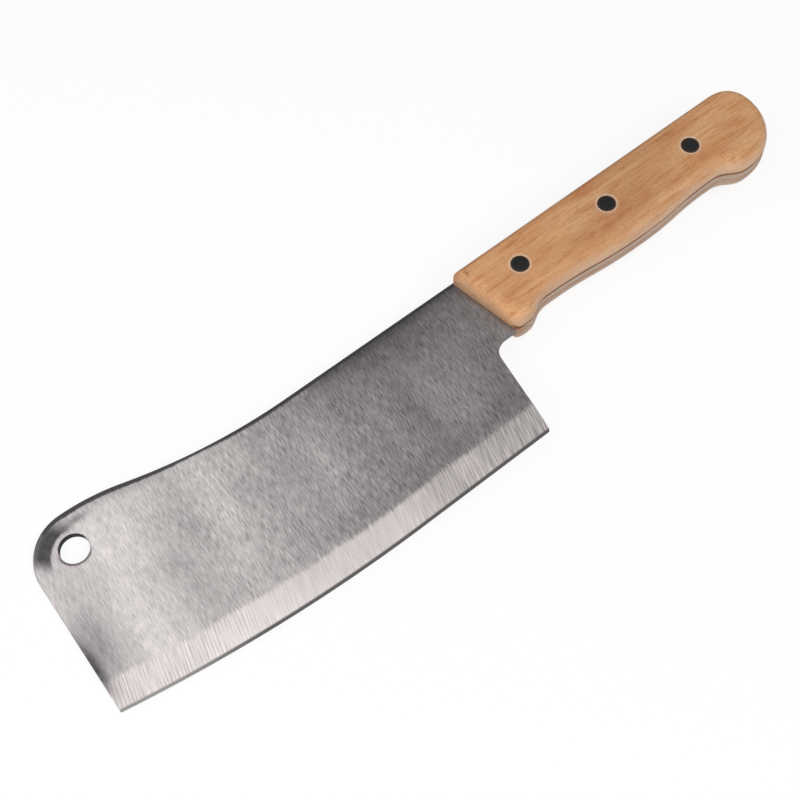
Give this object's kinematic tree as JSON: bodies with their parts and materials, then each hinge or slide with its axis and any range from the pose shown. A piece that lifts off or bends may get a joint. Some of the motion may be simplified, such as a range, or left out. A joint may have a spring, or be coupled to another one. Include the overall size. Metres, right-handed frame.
{
  "type": "kitchen cleaver",
  "caption": "Broad cleaver blade with a raised spine, round front corner and hanging hole, its full tang held between riveted wooden scales; for chopping and slicing.",
  "frame": {"origin": "middle of the bounding box's underside, on the plane of the lower scale's outer face", "axes": "+X from the blade's front to the butt of the handle, +Y from the cutting edge to the spine, +Z through the thickness"},
  "size_m": [0.2838, 0.0716, 0.0161],
  "materials": {
    "steel": "brushed across the blade, with a brighter ground bevel at the edge and a dark spine",
    "wood": "oiled light brown wood, grain along the handle",
    "rivet": "blackened steel, sanded flush with the wood"
  },
  "bodies": {
    "root": {"blade": "steel", "upper_scale": "wood", "lower_scale": "wood", "front_rivet_tube": "rivet", "front_rivet_pin": "rivet", "middle_rivet_tube": "rivet", "middle_rivet_pin": "rivet", "rear_rivet_tube": "rivet", "rear_rivet_pin": "rivet"}
  },
  "joints": []
}
